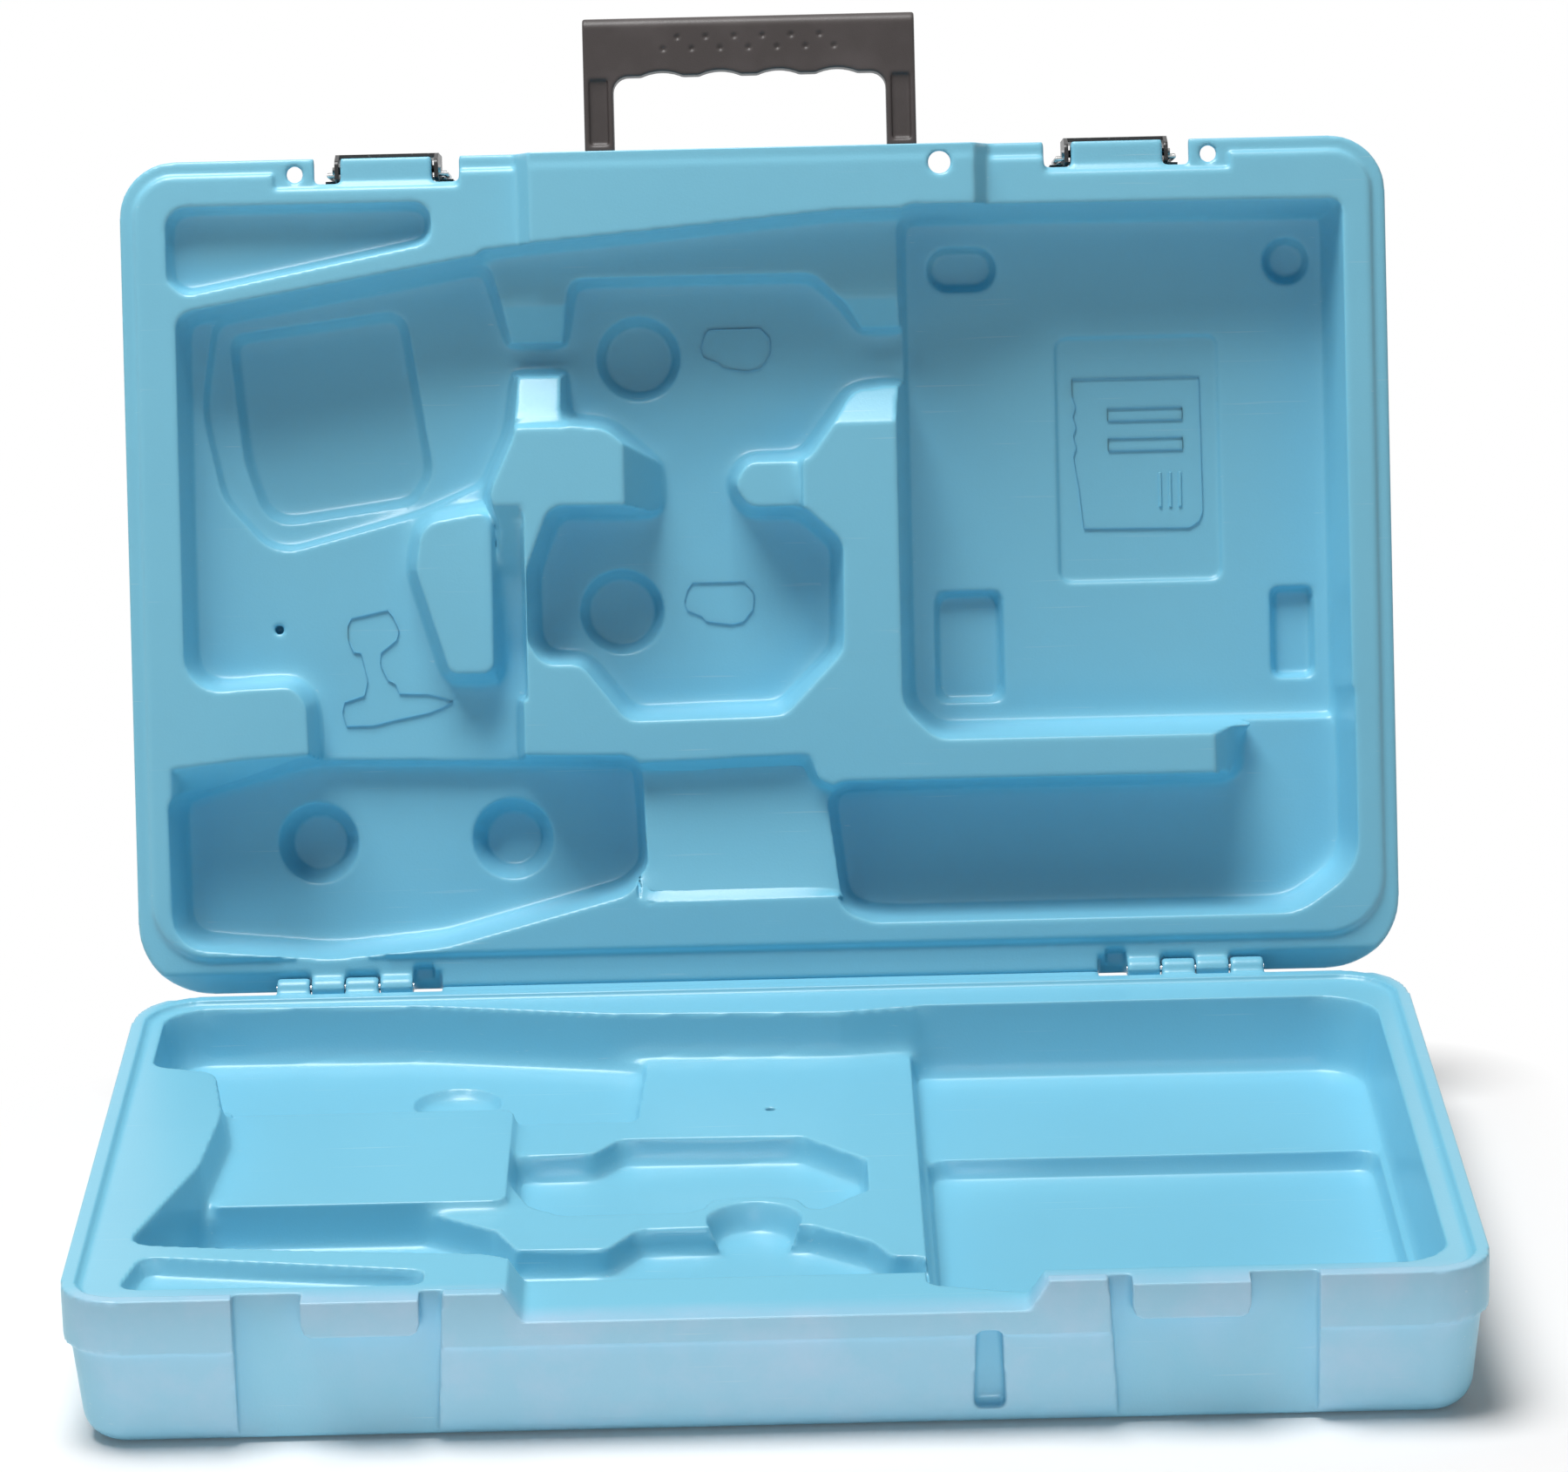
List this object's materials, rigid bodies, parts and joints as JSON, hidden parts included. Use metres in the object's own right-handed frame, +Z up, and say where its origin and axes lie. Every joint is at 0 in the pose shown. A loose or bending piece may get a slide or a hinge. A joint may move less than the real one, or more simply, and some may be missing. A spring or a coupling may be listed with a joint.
{
  "type": "power tool carry case",
  "caption": "Open blow-moulded teal carry case for a cordless drill, with shaped pockets, a folding black handle and wire latches.",
  "frame": {"origin": "centre of the base's underside", "axes": "+X to the right seen from the front, -Y to the front, +Z up"},
  "size_m": [0.5, 0.4648, 0.4264],
  "materials": {
    "shell": "satin moulded polyethylene",
    "black_plastic": "satin",
    "black_steel": "semi-gloss paint",
    "steel": "zinc plated"
  },
  "bodies": {
    "base": {"base_shell": "shell", "hinge_pin_left": "steel", "hinge_pin_right": "steel"},
    "lid": {"lid_shell": "shell", "latch_pin_left": "steel", "latch_pin_right": "steel"},
    "handle": {"handle": "black_plastic"},
    "lever_left": {"latch_lever_left": "black_steel"},
    "lever_right": {"latch_lever_right": "black_steel"},
    "bail_left": {"latch_bail_left": "steel"},
    "bail_right": {"latch_bail_right": "steel"}
  },
  "joints": [
    {"name": "lid_hinge", "type": "hinge", "parent": "base", "child": "lid", "pos_m": [0, 0.163, 0.058], "axis": [1, 0, 0], "range_deg": [0, 105]},
    {"name": "handle_fold", "type": "hinge", "parent": "lid", "child": "handle", "pos_m": [0, 0.24389, 0.36761], "axis": [-1, 0, 0], "range_deg": [0, 90]},
    {"name": "lever_left", "type": "hinge", "parent": "lid", "child": "lever_left", "pos_m": [-0.1445, 0.25484, 0.3683], "axis": [-1, 0, 0], "range_deg": [-90, 0]},
    {"name": "lever_right", "type": "hinge", "parent": "lid", "child": "lever_right", "pos_m": [0.1445, 0.25484, 0.3683], "axis": [-1, 0, 0], "range_deg": [-90, 0]},
    {"name": "bail_left", "type": "hinge", "parent": "lever_left", "child": "bail_left", "pos_m": [-0.1445, 0.25928, 0.36556], "axis": [1, 0, 0], "range_deg": [0, 178.1]},
    {"name": "bail_right", "type": "hinge", "parent": "lever_right", "child": "bail_right", "pos_m": [0.1445, 0.25928, 0.36556], "axis": [1, 0, 0], "range_deg": [0, 178.1]}
  ]
}
